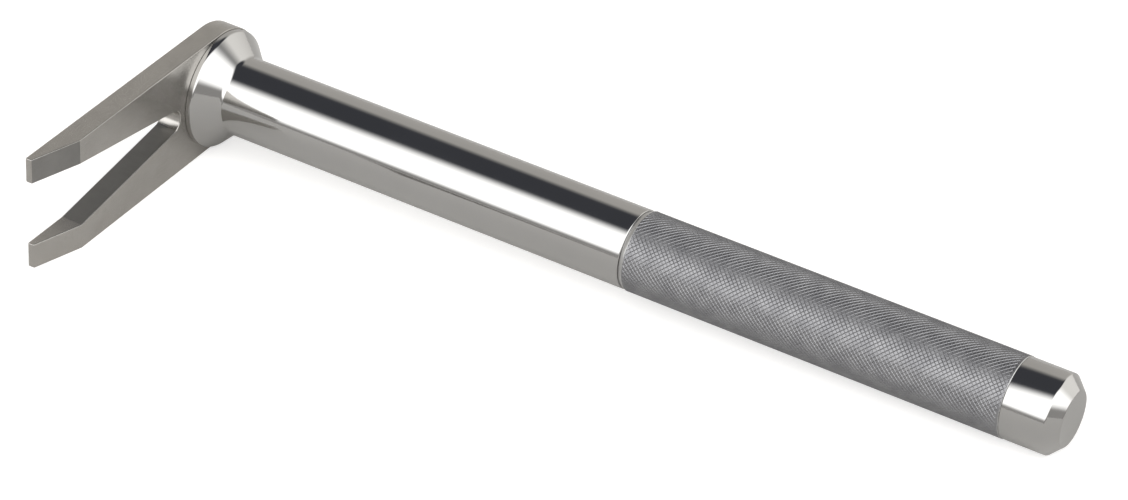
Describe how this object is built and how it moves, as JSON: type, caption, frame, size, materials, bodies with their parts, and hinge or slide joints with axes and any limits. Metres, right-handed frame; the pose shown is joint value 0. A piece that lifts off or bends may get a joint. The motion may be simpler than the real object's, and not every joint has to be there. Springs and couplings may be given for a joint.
{
  "type": "forked pry lever",
  "caption": "Slim bar handle with a knurled grip and a forked, chisel-edged plate set square across its end, for levering parts apart at the bench.",
  "frame": {"origin": "bottom centre of the tool's bounding box as it lies on its side", "axes": "+X along the bar from the fork towards the butt, -Y from the bar towards the prong tips, +Z across the prongs"},
  "size_m": [0.1534, 0.0552, 0.0198],
  "materials": {
    "satin_fork": "satin, fine blasted grain, warm grey",
    "polished_bar": "mirror polished bright steel",
    "knurled_grip": "fine diamond knurl, matt grey",
    "ground_steel": "ground bright",
    "black_screw": "black oxide"
  },
  "bodies": {
    "root": {"fork_plate": "satin_fork", "polished_bar": "polished_bar", "knurled_sleeve": "knurled_grip", "butt_cap": "polished_bar", "butt_stud": "ground_steel", "sleeve_key": "ground_steel", "dowel_pin_upper": "ground_steel", "dowel_pin_lower": "ground_steel", "fork_screw": "black_screw"}
  },
  "joints": []
}
